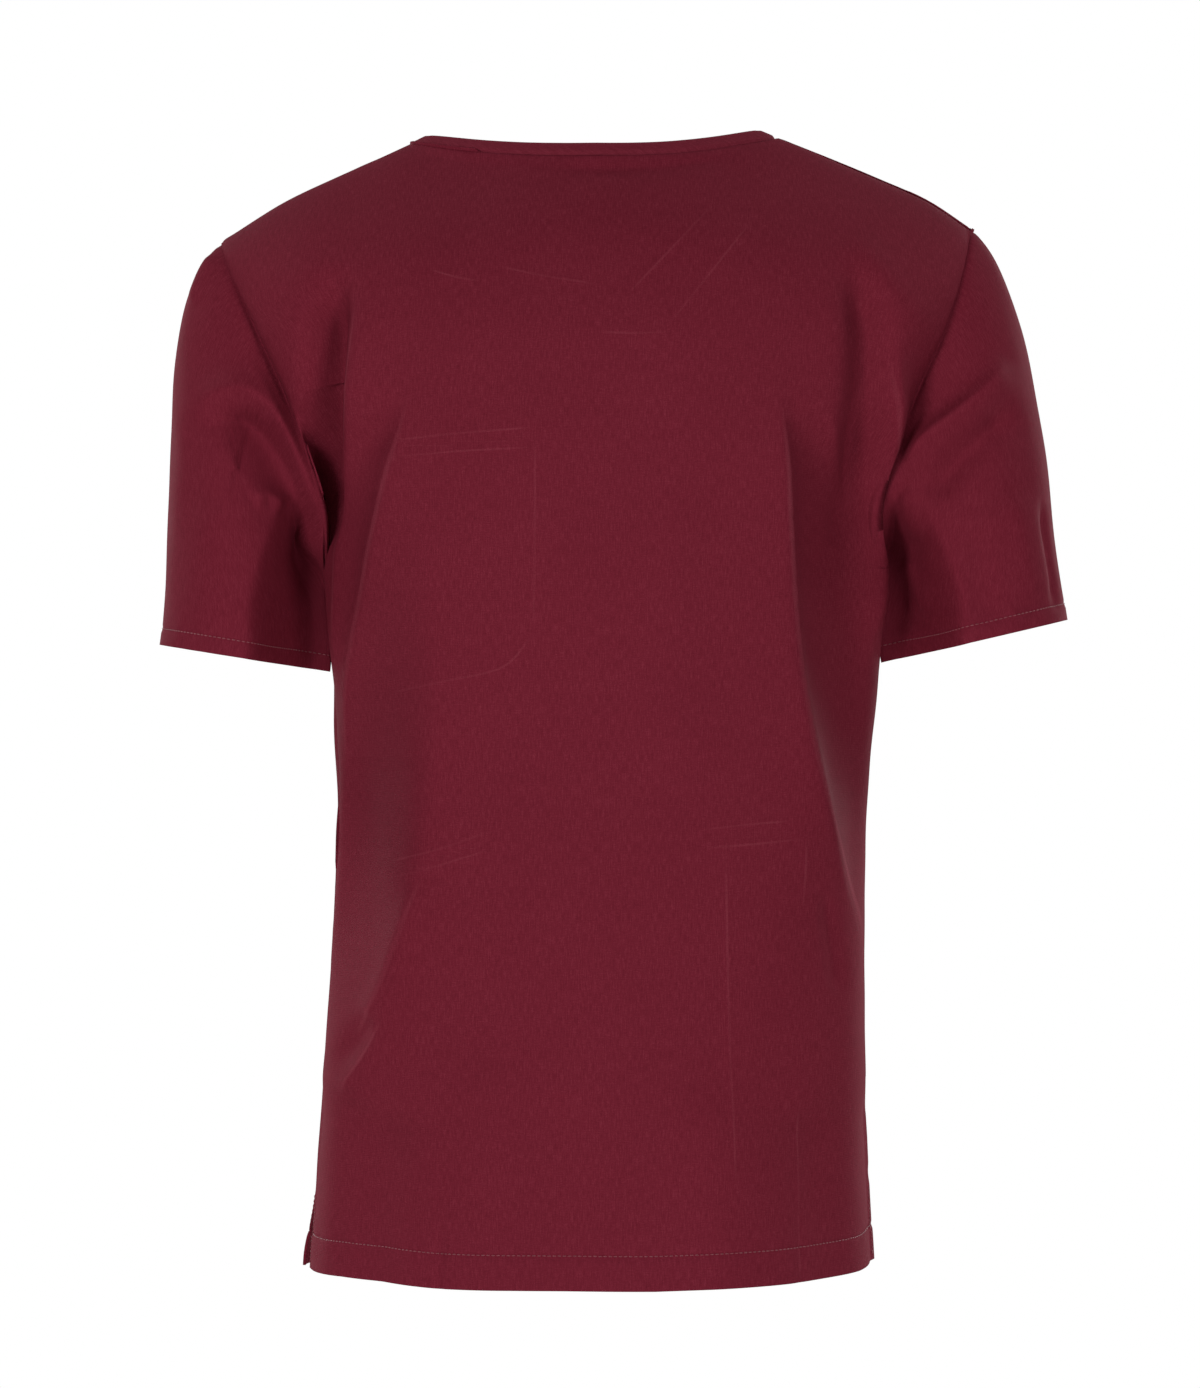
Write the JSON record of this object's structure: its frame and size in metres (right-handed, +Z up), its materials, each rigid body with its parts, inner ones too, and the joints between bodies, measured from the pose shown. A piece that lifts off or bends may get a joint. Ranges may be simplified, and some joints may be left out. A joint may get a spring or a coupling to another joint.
{
  "type": "medical scrub top",
  "caption": "Short-sleeved V-neck medical scrub top, filled out as worn, with a chest pocket, lower patch pockets and side vents.",
  "frame": {"origin": "middle of the neck opening, level with the shoulder seams at the neck, where the wearer's shoulders hold it", "axes": "+Z up along the body, the front faces -Y, the wearer's left is +X"},
  "size_m": [0.573, 0.2615, 0.7236],
  "materials": {
    "cloth": "fine plain weave, slight sheen",
    "thread": "topstitching thread"
  },
  "bodies": {
    "root": {"back": "cloth", "front": "cloth", "sleeve_left": "cloth", "sleeve_right": "cloth", "neck_band_back": "cloth", "neck_band_left": "cloth", "neck_band_right": "cloth", "chest_pocket": "cloth", "pocket_left": "cloth", "pocket_right": "cloth"}
  },
  "joints": []
}
